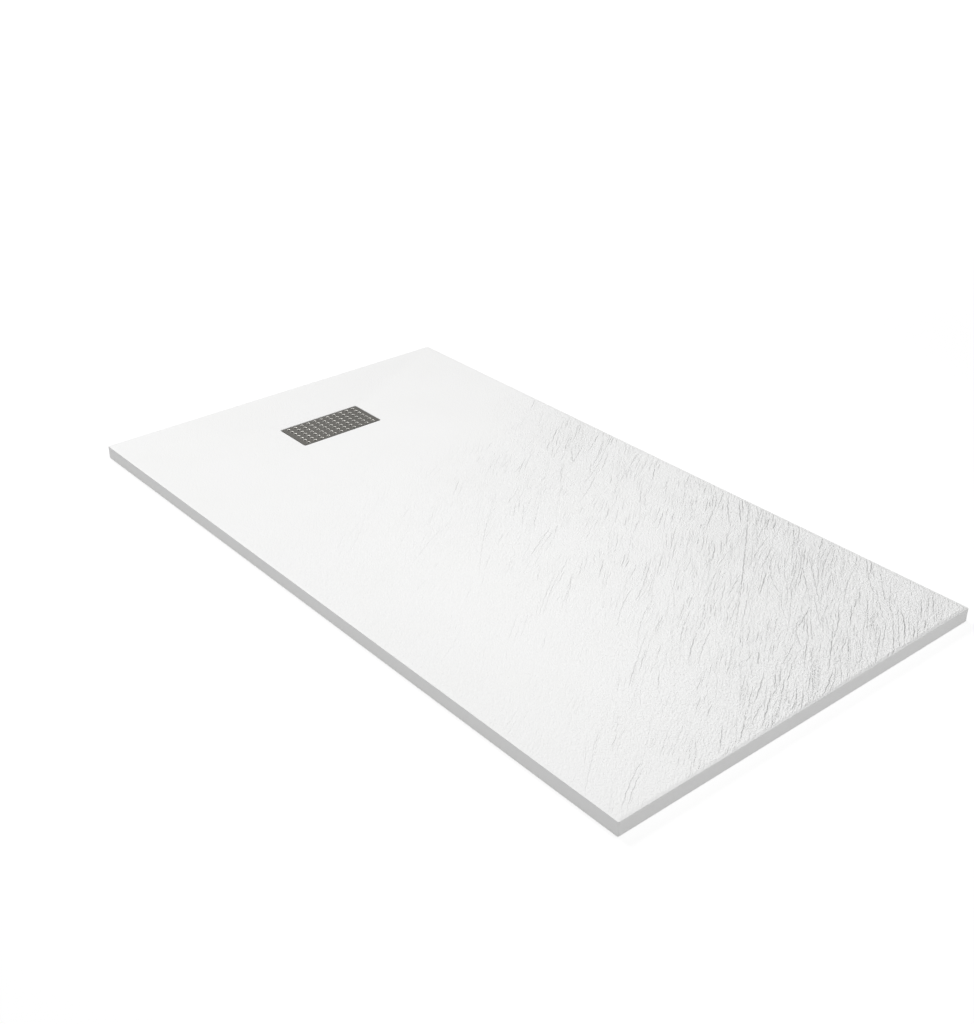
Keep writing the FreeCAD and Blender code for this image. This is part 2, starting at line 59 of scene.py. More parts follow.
# ------------------------------------------------------------------ shared helpers
def linear(code: str) -> tuple[float, float, float, float]:
    """Turns an sRGB hex colour into the linear colour that shaders take.

    Args:
        code: Six hex digits, with or without a leading #.

    Returns:
        Red, green, blue and an alpha of 1.
    """
    digits = code.lstrip("#")
    channels = [int(digits[i:i + 2], 16) / 255.0 for i in (0, 2, 4)]
    # the two branches of the sRGB standard's own curve
    red, green, blue = (
        c / 12.92 if c <= 0.04045 else ((c + 0.055) / 1.055) ** 2.4 for c in channels
    )
    return red, green, blue, 1.0


def add_node(tree: NodeTree, kind: str, inputs: dict | None = None, **settings: object) -> Node:
    """Adds one shader node.

    Args:
        tree: The material's or the world's node tree.
        kind: The node's type name without its ShaderNode prefix.
        inputs: What each input takes, by name or index: another node's socket, or a value.
        settings: Properties of the node itself.

    Returns:
        The new node.
    """
    node = tree.nodes.new("ShaderNode" + kind)
    for name, value in settings.items():
        setattr(node, name, value)
    for key, value in (inputs or {}).items():
        if isinstance(value, NodeSocket):
            tree.links.new(value, node.inputs[key])
        else:
            node.inputs[key].default_value = value
    return node


def empty_tree(owner: Material | World) -> NodeTree:
    """Makes a material or a world ready to take its own nodes.

    Args:
        owner: The material or the world.

    Returns:
        Its node tree, with nothing in it.
    """
    owner.use_nodes = True
    owner.node_tree.nodes.clear()
    return owner.node_tree


def finished_mesh(name: str, bm: BMesh) -> Mesh:
    """Turns a mesh under construction into a finished one.

    Args:
        name: The finished mesh's name.
        bm: The mesh under construction, which ends here.

    Returns:
        The finished mesh.
    """
    mesh = bpy.data.meshes.new(name)
    bm.to_mesh(mesh)
    bm.free()
    return mesh


def put_in(name: str, data: ID) -> Object:
    """Puts a mesh, a lamp or a camera into the scene.

    Args:
        name: The new object's name.
        data: What it shows.

    Returns:
        The new object.
    """
    thing = bpy.data.objects.new(name, data)
    bpy.context.scene.collection.objects.link(thing)
    return thing


def new_object(name: str, mesh: Mesh, body: str, replaced: tuple[str, ...]) -> Object:
    """Puts a finished mesh into the scene as a piece of the object.

    Args:
        name: The piece's name.
        mesh: Its mesh, already in place.
        body: The body that it moves with.
        replaced: The construction's nodes that it stands for.

    Returns:
        The new object.
    """
    piece = put_in(name, mesh)
    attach(piece, body)
    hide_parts(*replaced)
    log.info("%s: %d faces, rides on %s", name, len(mesh.polygons), body)
    return piece


def smoothstep(low: float, high: float, value: np.ndarray) -> np.ndarray:
    """Rises smoothly from 0 at low to 1 at high."""
    t = np.clip((value - low) / (high - low), 0.0, 1.0)
    return t * t * (3.0 - 2.0 * t)


def read_values(items: bpy.types.bpy_prop_collection, name: str, width: int = 1,
                kind: type = float) -> np.ndarray:
    """Reads one value of every item of a mesh.

    Args:
        items: The mesh's points, faces or corners.
        name: The value's name.
        width: How many numbers it has.
        kind: The numbers' type.

    Returns:
        The values, one row for each item when they are wider than one number.
    """
    values = np.zeros(len(items) * width, dtype=kind)
    items.foreach_get(name, values)
    return values if width == 1 else values.reshape(-1, width)


# ------------------------------------------------------------------ finishes
class Finish:
    """A material made from nodes: one Principled shader and the patterns that feed it."""

    name: str = "finish"

    def build(self) -> Material:
        """Makes the material.

        Returns:
            The material, ready to assign.
        """
        material = bpy.data.materials.new(self.name)
        tree = empty_tree(material)
        shader = add_node(tree, "BsdfPrincipled", self.inputs(tree))
        add_node(tree, "OutputMaterial", {"Surface": shader.outputs["BSDF"]})
        return material

    def inputs(self, tree: NodeTree) -> dict[str, object]:
        """Makes the patterns, and tells what each input of the shader takes."""
        raise NotImplementedError

@dataclass(frozen=True)
class GelCoat(Finish):
    """Sprayed polyester gel coat on a pressed moulding, cast with a slate's creases.

    To the eye it is a soft matt white without sharp reflections, with thin grey lines where the
    creases lie. These come from the mesh's own attributes, so that they stay thinner than its
    faces. Their grey is partly the bump's own shading and partly painted shade: the colour darkens
    towards the bottom of each crease, where less light comes. Between them lie fine wrinkles that
    run the same way, and a pebble as of leather. Both fade out towards the drain. The heights are
    more than real, so that they show from a few metres away.
    """

    name: str = "gel_coat_white_slate"
    colour: str = "#F1F1F1"
    shade: str = "#EEEEED"
    cloud: float = 166.7            # mm, of the slow change between these two
    painted_crease_shade: str = "#C9C9C8"         # painted shade at the bottom of a crease, where less light comes
    roughness: float = 0.55
    crease_depth: float = 1.9       # mm
    gentle_side: float = 0.72       # how quickly a crease rises away from the drain
    steep_side: float = 1.35        # and towards it
    lean: float = math.radians(-54.0)
    wrinkle: tuple[float, float] = (11.0, 4.0)      # mm, along and across
    wrinkle_height: float = 2.7     # mm
    pebble: float = 3.2             # mm
    pebble_height: float = 3.1      # mm

    def creases(self, tree: NodeTree) -> NodeSocket:
        """Makes the creases from the mesh's attributes.

        Args:
            tree: The material's tree.

        Returns:
            How deep a place lies in a crease, from 0 to 1.
        """
        away = add_node(tree, "Attribute", attribute_name="crease_away").outputs["Fac"]
        depth = add_node(tree, "Attribute", attribute_name="crease_depth").outputs["Fac"]
        gentle, steep = (
            add_node(tree, "Math", {0: away, 1: rate}, operation="MULTIPLY").outputs[0]
            for rate in (self.gentle_side, -self.steep_side)
        )
        node = add_node(tree, "Math", {0: gentle, 1: steep}, operation="MAXIMUM")
        # a bell curve of the distance, as high as the crease is deep
        for operation, value in (
            ("POWER", 2.0), ("MULTIPLY", -1.0), ("EXPONENT", 0.0), ("MULTIPLY", depth),
        ):
            node = add_node(tree, "Math", {0: node.outputs[0], 1: value}, operation=operation)
        return node.outputs[0]

    def inputs(self, tree: NodeTree) -> dict[str, object]:
        """Makes the colour, the creases, the wrinkles and the pebble.

        Args:
            tree: The material's tree.

        Returns:
            What each input of the shader takes.
        """
        place = add_node(tree, "TexCoord").outputs["Object"]
        grain = add_node(tree, "Attribute", attribute_name="grain").outputs["Fac"]
        cloud = add_node(tree, "TexNoise", {
            "Vector": place, "Scale": 1.0 / (self.cloud * MM), "Detail": 2.0,
        })
        tone = add_node(tree, "Mix", {
            "Factor": cloud.outputs["Fac"], "A": linear(self.colour), "B": linear(self.shade),
        }, data_type="RGBA")
        groove = self.creases(tree)
        # painted shade: the colour darkens towards a grey at the bottom of each crease, where less
        # light comes
        dark = add_node(tree, "Mix", {
            "Factor": groove, "A": tone.outputs["Result"], "B": linear(self.painted_crease_shade),
        }, data_type="RGBA")

        sunk = add_node(tree, "Math", {0: groove, 1: -self.crease_depth}, operation="MULTIPLY")
        along, across = self.wrinkle
        turned = add_node(tree, "Mapping", {"Vector": place, "Rotation": (0.0, 0.0, -self.lean)})
        drawn = add_node(tree, "Mapping", {
            "Vector": turned.outputs["Vector"],
            "Scale": (1.0 / (along * MM), 1.0 / (across * MM), 1.0 / (across * MM)),
        })
        wrinkles = add_node(tree, "TexNoise", {
            "Vector": drawn.outputs["Vector"], "Scale": 1.0, "Detail": 3.0, "Roughness": 0.6,
            "Distortion": 0.4,
        })
        stones = add_node(tree, "TexNoise", {
            "Vector": place, "Scale": 1.0 / (self.pebble * MM), "Detail": 1.0,
        })
        pebbles = add_node(tree, "Math", {
            0: stones.outputs["Fac"], 1: self.pebble_height,
        }, operation="MULTIPLY")
        rough = add_node(tree, "Math", {
            0: wrinkles.outputs["Fac"], 1: self.wrinkle_height, 2: pebbles.outputs[0],
        }, operation="MULTIPLY_ADD")
        height = add_node(tree, "Math", {
            0: rough.outputs[0], 1: grain, 2: sunk.outputs[0],
        }, operation="MULTIPLY_ADD")
        bump = add_node(tree, "Bump", {
            "Height": height.outputs[0], "Distance": MM, "Strength": 1.0,
        })
        return {
            "Base Color": dark.outputs["Result"], "Roughness": self.roughness, "IOR": 1.5,
            "Normal": bump.outputs["Normal"],
        }


@dataclass(frozen=True)
class BrushedSteel(Finish):
    """Stainless sheet, brushed lengthwise.

    To the eye it is a dark grey metal with a soft sheen, which the fine scratches spread out
    across themselves.
    """

    name: str = "brushed_stainless"
    colour: str = "#53514D"
    roughness: tuple[float, float] = (0.24, 0.50)   # from scratch to scratch
    scratch: float = 0.8            # mm apart, drawn coarser than real so that it shows
    scratch_height: float = 0.06    # mm
    drawn_out: float = 50.0         # how many times longer than wide a scratch is

    def inputs(self, tree: NodeTree) -> dict[str, object]:
        """Makes the metal and its brushing.

        Args:
            tree: The material's tree.

        Returns:
            What each input of the shader takes.
        """
        place = add_node(tree, "TexCoord").outputs["Object"]
        streak = add_node(tree, "Mapping", {
            "Vector": place, "Scale": (1.0, 1.0 / self.drawn_out, 1.0),
        })
        lines = add_node(tree, "TexNoise", {
            "Vector": streak.outputs["Vector"], "Scale": 1.0 / (self.scratch * MM),
            "Detail": 2.0,
        })
        bump = add_node(tree, "Bump", {
            "Height": lines.outputs["Fac"], "Distance": self.scratch_height * MM,
            "Strength": 0.8,
        })
        smoothest, roughest = self.roughness
        rough = add_node(tree, "MapRange", {
            "Value": lines.outputs["Fac"], "To Min": smoothest, "To Max": roughest,
        })
        return {
            "Base Color": linear(self.colour), "Metallic": 1.0,
            "Roughness": rough.outputs["Result"], "Normal": bump.outputs["Normal"],
        }


@dataclass(frozen=True)
class PressedSteel(Finish):
    """Thin stainless sheet, pressed and polished.

    To the eye it is a bright, nearly even mirror, and a duller one where it is burnished.
    """

    name: str = "polished_stainless"
    colour: str = "#C9C8C4"
    roughness: tuple[float, float] = (0.12, 0.22)
    wave: float = 4.545             # mm, of the sheet's unevenness

    def inputs(self, tree: NodeTree) -> dict[str, object]:
        """Makes the metal, with the faint unevenness of pressing.

        Args:
            tree: The material's tree.

        Returns:
            What each input of the shader takes.
        """
        place = add_node(tree, "TexCoord").outputs["Object"]
        waves = add_node(tree, "TexNoise", {
            "Vector": place, "Scale": 1.0 / (self.wave * MM), "Detail": 2.0,
        })
        smoothest, roughest = self.roughness
        rough = add_node(tree, "MapRange", {
            "Value": waves.outputs["Fac"], "To Min": smoothest, "To Max": roughest,
        })
        return {
            "Base Color": linear(self.colour), "Metallic": 1.0,
            "Roughness": rough.outputs["Result"],
        }


@dataclass(frozen=True)
class MouldedPlastic(Finish):
    """Injection-moulded polypropylene.

    To the eye it is waxy, with a soft highlight that the mould's spark texture breaks up.
    """

    name: str = "moulded_polypropylene"
    colour: str = "#E4E4E0"
    roughness: tuple[float, float] = (0.33, 0.45)
    flow: float = 25.0              # mm, of the plastic's flow in the mould
    grain: float = 0.6              # mm, of the spark texture, coarser than real to show
    grain_height: float = 0.01      # mm

    def inputs(self, tree: NodeTree) -> dict[str, object]:
        """Makes the plastic and its mould texture.

        Args:
            tree: The material's tree.

        Returns:
            What each input of the shader takes.
        """
        place = add_node(tree, "TexCoord").outputs["Object"]
        spark = add_node(tree, "TexNoise", {
            "Vector": place, "Scale": 1.0 / (self.grain * MM), "Detail": 2.0,
        })
        flow = add_node(tree, "TexNoise", {
            "Vector": place, "Scale": 1.0 / (self.flow * MM), "Detail": 1.0,
        })
        bump = add_node(tree, "Bump", {
            "Height": spark.outputs["Fac"], "Distance": self.grain_height * MM,
            "Strength": 1.0,
        })
        smoothest, roughest = self.roughness
        rough = add_node(tree, "MapRange", {
            "Value": flow.outputs["Fac"], "To Min": smoothest, "To Max": roughest,
        })
        return {
            "Base Color": linear(self.colour), "IOR": 1.49,
            "Roughness": rough.outputs["Result"], "Normal": bump.outputs["Normal"],
        }


@dataclass(frozen=True)
class SealRubber(Finish):
    """Moulded EPDM rubber: to the eye near black and dull, with a little grey bloom."""

    name: str = "moulded_epdm"
    colour: str = "#262626"
    bloom: str = "#33332F"
    bloom_patch: float = 8.333      # mm
    roughness: float = 0.72

    def inputs(self, tree: NodeTree) -> dict[str, object]:
        """Makes the rubber and its bloom.

        Args:
            tree: The material's tree.

        Returns:
            What each input of the shader takes.
        """
        place = add_node(tree, "TexCoord").outputs["Object"]
        patch = add_node(tree, "TexNoise", {
            "Vector": place, "Scale": 1.0 / (self.bloom_patch * MM), "Detail": 3.0,
        })
        tone = add_node(tree, "Mix", {
            "Factor": patch.outputs["Fac"], "A": linear(self.colour), "B": linear(self.bloom),
        }, data_type="RGBA")
        return {"Base Color": tone.outputs["Result"], "Roughness": self.roughness, "IOR": 1.52}


# ------------------------------------------------------------------ the tray's moulding
@dataclass
class SlateCreases:
    """The creases of the cast slate pattern, as short curved lines in plan.

    They run slantwise across the tray, often two or three side by side, thin out towards the
    drain and are shallower towards the near long side, as in the photograph. Places are counted
    from the drain end along the tray, and from its middle across it.
    """

    seed: int = 7
    tries: int = 3000
    lean: float = math.radians(-56.0)       # of a crease, from the tray's length
    lean_turn: float = math.radians(6.0)    # how much less it leans at the drain end
    lean_spread: float = math.radians(5.0)
    length_mean: float = 72.0 * MM
    length_spread: float = 0.55             # of the length's logarithm
    short: float = 0.6                      # of that length, where the slate is weakest
    bend_spread: float = 1.8                # radians in each metre
    sway: float = 0.12                      # radians that a line sways to each side
    sway_turn: float = 1.3                  # of that sway, from point to point
    sway_shift: float = 50.0                # and from line to line, for each metre
    half_width: tuple[float, float] = (0.5 * MM, 1.0 * MM)
    shallow: float = 0.25                   # the least depth, as a share of the whole
    taper: float = 0.6                      # how bluntly a crease runs out at its ends
    groups: tuple[int, ...] = (1, 1, 2, 2, 3)               # how many lie side by side
    spacing: tuple[float, float] = (6.0 * MM, 11.0 * MM)    # and how far apart
    group_slip: float = 0.3                 # of their length, that they slip along each other
    group_share: tuple[float, float] = (0.5, 1.0)           # of the first one's size
    group_draws: int = 4                    # values drawn for a group, as many as it may need
    patches: float = 9.0                    # of more and of fewer creases, in each metre
    patch_pull: float = 0.7                 # how strong they are
    patch_level: float = 4.0                # where their solid pattern is cut
    kept: float = 0.2                       # of the tries, where the slate is weakest
    fade: float = 6.0                       # how suddenly they stop where it ends
    step: float = 6.0 * MM                  # between a line's points
    reach: float = 6.0 * MM                 # how far from its line a crease is worked out
    beyond: float = 9.0                     # half widths, where no crease is near
    # where the slate rises from nothing to its whole strength, in metres
    first_rise: tuple[float, float] = (0.42, 0.76)          # along the tray, its first half
    second_rise: tuple[float, float] = (0.9, 1.3)           # and its second
    far_lead: float = 0.13                  # how much sooner both start at the far side
    far_side: tuple[float, float] = (0.2, 0.42)
    side_rise: tuple[float, float] = (-0.30, 0.42)          # across the tray
    end_shift: float = 0.24                 # how much sooner that starts at the high end
    high_end: tuple[float, float] = (1.15, 1.6)
    near_rest: float = 0.06                 # what there is of it at the near side
    contrast: float = 0.6                   # below 1, the weaker parts are lifted
    # each line's straight steps, which draw() fills in
    starts: np.ndarray = field(init=False)
    runs: np.ndarray = field(init=False)
    progress: np.ndarray = field(init=False)    # along its line, from 0 to 1
    portion: np.ndarray = field(init=False)     # of its line
    depths: np.ndarray = field(init=False)
    widths: np.ndarray = field(init=False)

    def strength(self, x: np.ndarray, y: np.ndarray) -> np.ndarray:
        """How strongly the slate shows at a place, from 0 to 1.

        Args:
            x: Distance from the drain end, in metres.
            y: Distance from the middle towards the far side, in metres.

        Returns:
            The strength at each place.
        """
        lead = x + self.far_lead * smoothstep(*self.far_side, y)
        halves = smoothstep(*self.first_rise, lead) + smoothstep(*self.second_rise, lead)
        shift = self.end_shift * smoothstep(*self.high_end, x)
        across = smoothstep(self.side_rise[0] - shift, self.side_rise[1] - shift, y)
        across = self.near_rest + (1.0 - self.near_rest) * across
        return np.clip(0.5 * halves * across, 0.0, 1.0) ** self.contrast

    def line(self, x: float, y: float, turn: float, bend: float, size: float,
             phase: float) -> np.ndarray:
        """Draws one crease.

        Args:
            x: Where its middle lies along the tray, from the drain end.
            y: Where its middle lies across the tray.
            turn: Its direction, from the tray's length.
            bend: How much it turns in each metre.
            size: Its length.
            phase: Where its slight sway starts.

        Returns:
            Its points, in plan.
        """
        count = max(3, round(size / self.step))
        index = np.arange(count) - (count - 1) / 2
        angle = turn + bend * index * self.step
        angle += self.sway * np.sin(index * self.sway_turn + phase)
        moves = np.stack((np.cos(angle), np.sin(angle)), axis=1) * self.step
        points = np.concatenate((np.zeros((1, 2)), np.cumsum(moves, axis=0)))
        return points - points.mean(axis=0) + np.array((x, y))

    def draw(self, length: float, width: float) -> None:
        """Lays the lines out over the tray's top.

        Args:
            length: The tray's length.
            width: The tray's width.
        """
        chance = np.random.default_rng(self.seed)
        lines: list[tuple[np.ndarray, float, float]] = []
        for _ in range(self.tries):
            x, y = chance.uniform(0.0, length), chance.uniform(-width / 2, width / 2)
            here = float(self.strength(np.array(x), np.array(y)))
            patch = noise.noise(Vector((x * self.patches, y * self.patches, self.patch_level)))
            turn = self.lean + self.lean_turn * (1.0 - x / length)
            turn += chance.normal(0.0, self.lean_spread)
            size = self.length_mean * math.exp(chance.normal(0.0, self.length_spread))
            size *= self.short + (1.0 - self.short) * here
            bend = chance.normal(0.0, self.bend_spread)
            depth = here * (self.shallow + (1.0 - self.shallow) * chance.uniform() ** 2)
            wide = chance.uniform(*self.half_width)
            side = int(chance.choice(self.groups))
            gaps = chance.uniform(*self.spacing, self.group_draws)
            slips = chance.normal(0.0, self.group_slip, self.group_draws)
            shares = chance.uniform(*self.group_share, self.group_draws)
            shares[0] = 1.0
            keep = self.kept + (1.0 - self.kept) * here
            keep *= self.patch_pull + self.patch_pull * patch
            if chance.uniform() > keep * min(self.fade * here, 1.0):
                continue
            for index in range(side):
                across, along = gaps[:index].sum(), size * slips[index]
                middle_x = x - math.sin(turn) * across + math.cos(turn) * along
                middle_y = y + math.cos(turn) * across + math.sin(turn) * along
                points = self.line(middle_x, middle_y, turn, bend, size * shares[index],
                                   x * self.sway_shift + index)
                lines.append((points, depth * shares[index], wide))
        self.starts = np.concatenate([points[:-1] for points, _, _ in lines])
        self.runs = np.concatenate([np.diff(points, axis=0) for points, _, _ in lines])
        steps = [len(points) - 1 for points, _, _ in lines]
        self.progress = np.concatenate([np.arange(n) / n for n in steps])
        self.portion = np.repeat([1.0 / n for n in steps], steps)
        self.depths = np.repeat([depth for _, depth, _ in lines], steps)
        self.widths = np.repeat([wide for _, _, wide in lines], steps)
        log.info("slate: %d creases", len(lines))

    def nearest(self, x: np.ndarray, y: np.ndarray) -> tuple[np.ndarray, np.ndarray]:
        """Finds the straight step of a crease that is nearest to each place.

        Args:
            x: Distance from the drain end.
            y: Distance from the middle.

        Returns:
            How far it is, at most the reach, and which step it is, or -1 where none is near.
        """
        gap = np.full(x.shape, self.reach)
        step = np.full(x.shape, -1)
        order = np.argsort(x)
        sorted_x = x[order]
        for index, (start, run) in enumerate(zip(self.starts, self.runs)):
            low = np.minimum(start, start + run) - self.reach
            high = np.maximum(start, start + run) + self.reach
            first, last = np.searchsorted(sorted_x, (low[0], high[0]))
            near = order[first:last]
            near = near[(y[near] > low[1]) & (y[near] < high[1])]
            off_x, off_y = x[near] - start[0], y[near] - start[1]
            share = np.clip((off_x * run[0] + off_y * run[1]) / (run @ run), 0.0, 1.0)
            distance = np.hypot(off_x - share * run[0], off_y - share * run[1])
            closer = distance < gap[near]
            gap[near[closer]] = distance[closer]
            step[near[closer]] = index
        return gap, step

    def measure(self, x: np.ndarray, y: np.ndarray,
                step: np.ndarray) -> tuple[np.ndarray, np.ndarray]:
        """Measures places against the crease step that was chosen for each.

        Args:
            x: Distance from the drain end.
            y: Distance from the middle.
            step: The chosen steps, or -1 for none.

        Returns:
            How many half widths of its crease each place lies to the line's left, and the
            crease's depth there, from 0 to 1.
        """
        start, run = self.starts[step], self.runs[step]
        size = np.hypot(run[:, 0], run[:, 1])
        off_x, off_y = x - start[:, 0], y - start[:, 1]
        away = (run[:, 0] * off_y - run[:, 1] * off_x) / size / self.widths[step]
        share = (off_x * run[:, 0] + off_y * run[:, 1]) / size ** 2
        progress = np.clip(self.progress[step] + share * self.portion[step], 0.0, 1.0)
        depth = self.depths[step] * np.sin(np.pi * progress) ** self.taper
        return np.where(step < 0, self.beyond, away), np.where(step < 0, 0.0, depth)


@dataclass(frozen=True)
class TopLines:
    """The lines of the top's mesh, and which of them frame the drain's opening."""

    xs: list[float]
    ys: list[float]
    marks: tuple[int, int, int, int]        # the frame's first and last X line and Y line

    @property
    def box(self) -> tuple[float, float, float, float]:
        """The frame's lowest and highest X and its lowest and highest Y."""
        low_x, high_x, low_y, high_y = self.marks
        return self.xs[low_x], self.xs[high_x], self.ys[low_y], self.ys[high_y]

    def framed(self, face: BMFace) -> bool:
        """Tells whether a face lies inside the frame.

        Args:
            face: A face of the moulding's mesh.

        Returns:
            True where its middle does.
        """
        low_x, high_x, low_y, high_y = self.box
        middle = face.calc_center_bounds()
        return low_x < middle.x < high_x and low_y < middle.y < high_y


@dataclass
class TrayMoulding:
    """The one-piece tray: ribbed below, with four falls and a slate pattern on top.

    A share of a fall is 0 at the tray's rim and 1 at the drain's opening.
    """

    length: float = 1600.0 * MM
    width: float = 900.0 * MM
    height: float = 28.0 * MM
    fall_depth: float = 7.0 * MM
    rim_land: float = 2.5 * MM
    drain_setback: float = 214.0 * MM
    opening: tuple[float, float] = (101.0 * MM, 210.0 * MM)
    opening_margin: float = 4.0 * MM        # of plain surface kept round the opening
    coarse_step: float = 8.0 * MM           # of the top's mesh, where it is smooth
    fine_step: float = 2.6 * MM             # along the tray, where it has creases
    cross_step: float = 5.6 * MM            # across the tray
    fine_from: float = 0.35                 # from the drain end
    valley_round: float = 14.0 * MM         # how widely the falls blend into each other
    blend_start: tuple[float, float] = (0.0, 0.06)      # shares where that sets in
    blend_end: tuple[float, float] = (0.9, 0.97)        # and where it goes out
    groove_width: float = 2.1 * MM
    groove_depth: float = 0.30 * MM
    swell_depth: float = 0.22 * MM          # of the slate's slow unevenness
    swell_rate: tuple[float, float, float] = (24.0, 12.0, 20.0)     # in each metre
    relief_start: tuple[float, float] = (0.0, 0.008)    # shares where the grooves set in
    relief_end: tuple[float, float] = (0.85, 0.93)      # and where they go out
    grain_start: tuple[float, float] = (-0.002, 0.004)  # the same for the finish
    grain_end: tuple[float, float] = (0.9, 1.0)
    grain_rest: float = 0.12                # of the grain, where there is no slate
    weld: float = 0.02 * MM                 # between the new top and the old rim
    level: float = 0.99                     # the least Z of a level face's normal
    fall_slack: float = 0.2 * MM            # how far below the falls a face still is of them
    land_slack: float = 0.005 * MM          # the same for the rim's land
    top_slack: float = 1.0 * MM             # and for the new top with its creases
    creases: SlateCreases = field(default_factory=SlateCreases)

    @property
    def drain_x(self) -> float:
        """The middle of the drain, along the tray."""
        return self.drain_setback - self.length / 2

    @property
    def edge(self) -> tuple[float, float]:
        """Half the length and half the width of the area with falls."""
        return self.length / 2 - self.rim_land, self.width / 2 - self.rim_land

    @staticmethod
    def divide(turns: tuple[float, ...], steps: tuple[float, ...]) -> tuple[list[float], list[int]]:
        """Divides the stretches between some places evenly.

        Args:
            turns: The places, in rising order.
            steps: The longest step of each stretch.

        Returns:
            All places, and which of them are the given ones.
        """
        places: list[float] = []
        marks: list[int] = []
        for start, end, step in zip(turns, turns[1:], steps):
            marks.append(len(places))
            count = math.ceil((end - start) / step)
            places.extend(start + (end - start) * i / count for i in range(count))
        return [*places, turns[-1]], marks

    def lines(self) -> TopLines:
        """Lays out the top's mesh: coarse where it is smooth, fine where it has creases.

        Returns:
            Its lines, with the frame of the opening among them.
        """
        far_x, far_y = self.edge
        half_x = self.opening[0] / 2 + self.opening_margin
        half_y = self.opening[1] / 2 + self.opening_margin
        fine_start = self.fine_from - self.length / 2
        xs, marks_x = self.divide(
            (-far_x, self.drain_x - half_x, self.drain_x + half_x, fine_start, far_x),
            (self.coarse_step,) * 3 + (self.fine_step,),
        )
        ys, marks_y = self.divide((-far_y, -half_y, half_y, far_y), (self.cross_step,) * 3)
        return TopLines(xs, ys, (marks_x[1], marks_x[2], marks_y[1], marks_y[2]))

    def slate_at(self, x: np.ndarray, y: np.ndarray) -> np.ndarray:
        """How strongly the slate shows at places of the tray, from 0 to 1."""
        return self.creases.strength(x + self.length / 2, y)

    def shares(self, x: np.ndarray, y: np.ndarray) -> np.ndarray:
        """How far down each of the four falls a place lies, from 0 at the rim to 1.

        Args:
            x: Places along the tray.
            y: Places across it.

        Returns:
            Four rows, one for each fall.
        """
        far_x, far_y = self.edge
        open_x, open_y = self.opening[0] / 2, self.opening[1] / 2
        return np.stack((
            (x + far_x) / (self.drain_x - open_x + far_x),
            (far_x - x) / (far_x - self.drain_x - open_x),
            (y + far_y) / (far_y - open_y),
            (far_y - y) / (far_y - open_y),
        ))

    @staticmethod
    def between(share: np.ndarray, start: tuple[float, float],
                end: tuple[float, float]) -> np.ndarray:
        """Rises from 0 to 1 over the start, and falls back to 0 over the end."""
        return smoothstep(*start, share) * (1.0 - smoothstep(*end, share))

    def fall_height(self, x: np.ndarray, y: np.ndarray) -> np.ndarray:
        """The height of the four falls, blended softly where they meet.

        Args:
            x: Places along the tray.
            y: Places across it.

        Returns:
            The heights.
        """
        shares = np.sort(self.shares(x, y), axis=0)
        lowest, second = shares[0], shares[1]
        soft = self.valley_round / (self.width / 2)
        soft = soft * self.between(lowest, self.blend_start, self.blend_end)
        soft = np.maximum(soft, 1e-9)
        overlap = np.maximum(soft - (second - lowest), 0.0) / soft
        blended = lowest - overlap * overlap * soft * 0.25
        return self.height - self.fall_depth * np.clip(blended, 0.0, 1.0)

    @staticmethod
    def cut_lattice(bm: BMesh, faces: list[BMFace], xs: list[float],
                    ys: list[float]) -> list[BMFace]:
        """Cuts faces along planes square to X and to Y, halving the stretch each time.

        Args:
            bm: The mesh.
            faces: The faces to cut.
            xs: Where to cut along X, in rising order.
            ys: Where to cut along Y, in rising order.

        Returns:
            The faces after the cuts.
        """
        for axis, places in enumerate((xs, ys)):
            normal = Vector((1 - axis, axis, 0))
            pending = [(faces, places)]
            faces = []
            while pending:
                group, stops = pending.pop()
                if not group or not stops:
                    faces.extend(group)
                    continue
                middle = len(stops) // 2
                parts = {part for face in group for part in (*face.edges, *face.verts)}
                cut = bmesh.ops.bisect_plane(
                    bm, geom=[*parts, *group], dist=0.1 * WELD,
                    plane_co=normal * stops[middle], plane_no=normal,
                )
                after = [g for g in cut["geom"] if isinstance(g, BMFace)]
                low = [f for f in after if f.calc_center_bounds()[axis] < stops[middle]]
                high = [f for f in after if f.calc_center_bounds()[axis] >= stops[middle]]
                pending += [(low, stops[:middle]), (high, stops[middle + 1:])]
        return faces

    def open_top(self, bm: BMesh, lines: TopLines) -> None:
        """Takes the falls off the moulding, all but a margin round the opening.

        Args:
            bm: The moulding's mesh.
            lines: The lines of the new top.
        """
        low_x, high_x, low_y, high_y = lines.box
        lowest = self.height - self.fall_depth - self.fall_slack
        land, falls = [], []
        for face in bm.faces:
            middle = face.calc_center_median()
            if face.normal.z <= self.level or middle.z <= lowest:
                continue
            if min(v.co.z for v in face.verts) > self.height - self.land_slack:
                land.append(face)
            elif abs(middle.x) < self.edge[0] and abs(middle.y) < self.edge[1]:
                falls.append(face)
        self.cut_lattice(bm, land, lines.xs[1:-1], lines.ys[1:-1])
        falls = self.cut_lattice(bm, falls, [low_x, high_x], [low_y, high_y])
        margin = [f for f in falls if lines.framed(f)]
        rest = [f for f in falls if not lines.framed(f)]
        bmesh.ops.delete(bm, geom=rest, context="FACES")
        first_x, last_x, first_y, last_y = lines.marks
        inside_x, inside_y = lines.xs[first_x:last_x + 1], lines.ys[first_y:last_y + 1]
        margin = self.cut_lattice(bm, margin, inside_x[1:-1], inside_y[1:-1])
        rim = list({v for f in margin for v in f.verts if v.is_boundary})
        places = [Vector((x, y)) for x in inside_x for y in (low_y, high_y)]
        places += [Vector((x, y)) for x in (low_x, high_x) for y in inside_y]
        for vert in rim:
            nearest = min(places, key=lambda p: (p - vert.co.xy).length_squared)
            vert.co.xy = nearest
            vert.co.z = float(self.fall_height(np.array([nearest.x]), np.array([nearest.y]))[0])
        bmesh.ops.remove_doubles(bm, verts=rim, dist=WELD)

